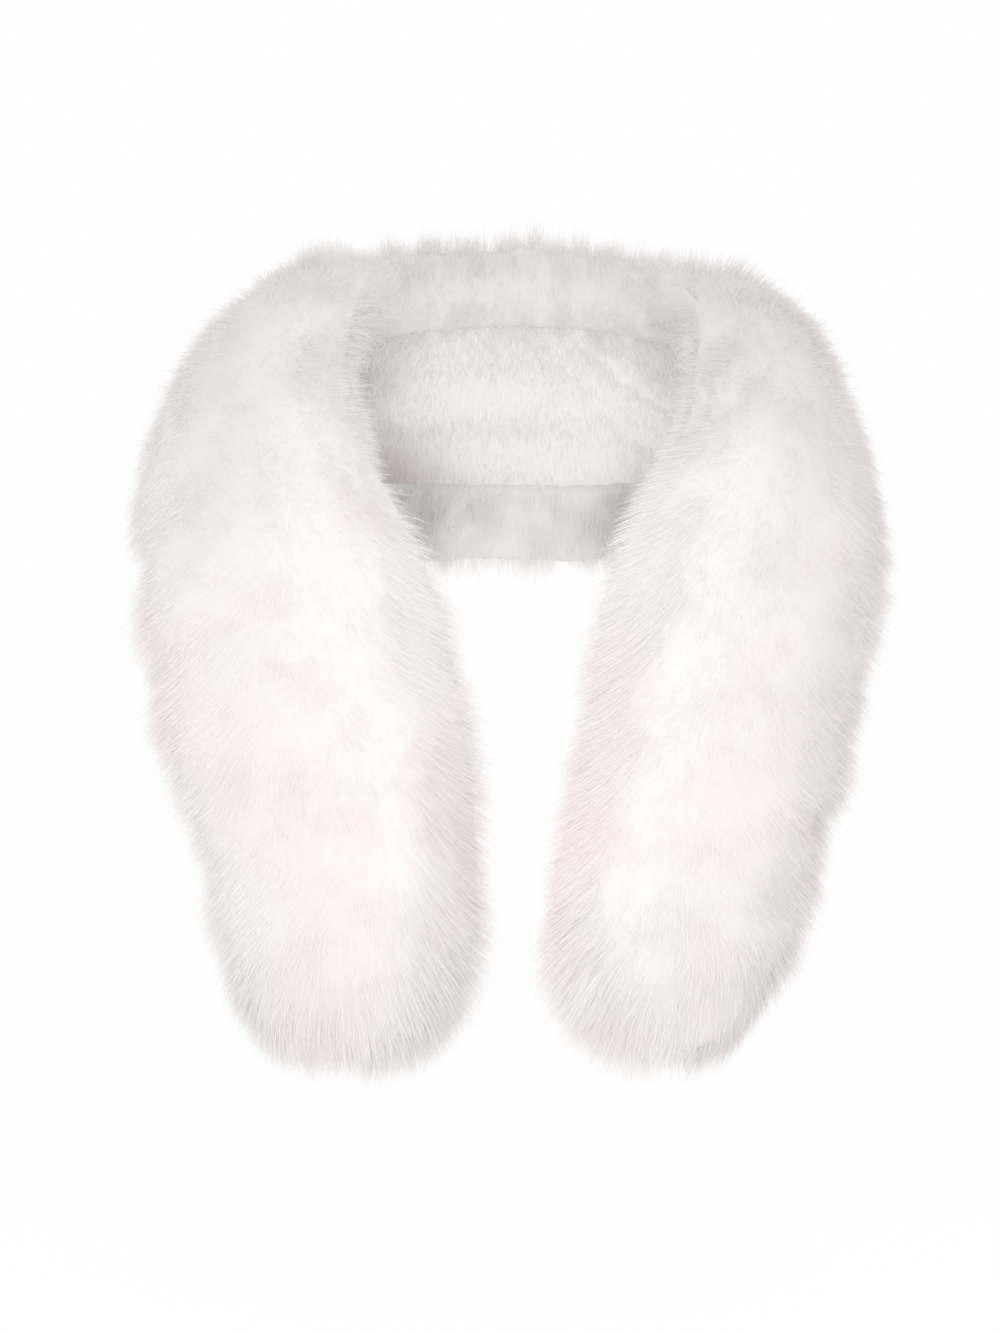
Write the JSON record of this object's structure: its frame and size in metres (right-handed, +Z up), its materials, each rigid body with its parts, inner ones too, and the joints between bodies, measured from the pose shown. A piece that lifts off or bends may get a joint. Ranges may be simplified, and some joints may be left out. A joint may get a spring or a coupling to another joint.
{
  "type": "fur collar wrap",
  "caption": "Long-pile white fur collar wrap with a plush lining, in its worn shape: upright round the nape, open at the neck and down the front.",
  "frame": {"origin": "middle of the neck hollow, where the wearer's neck and shoulders hold the wrap up, level with the lining of the nape", "axes": "+Z up, -Y the wearer's front, +X the wearer's left"},
  "size_m": [0.3964, 0.3007, 0.4271],
  "materials": {
    "white_fur": "long soft off-white faux-fur pile with a faint pink and cream cast, matt with a soft sheen",
    "plush_lining": "short brushed plush, very pale pinkish white, matt"
  },
  "bodies": {
    "root": {"fur_back_neck": "white_fur", "fur_right_front": "white_fur", "fur_left_front": "white_fur", "lining_back_neck": "plush_lining", "lining_right_front": "plush_lining", "lining_left_front": "plush_lining"}
  },
  "joints": []
}
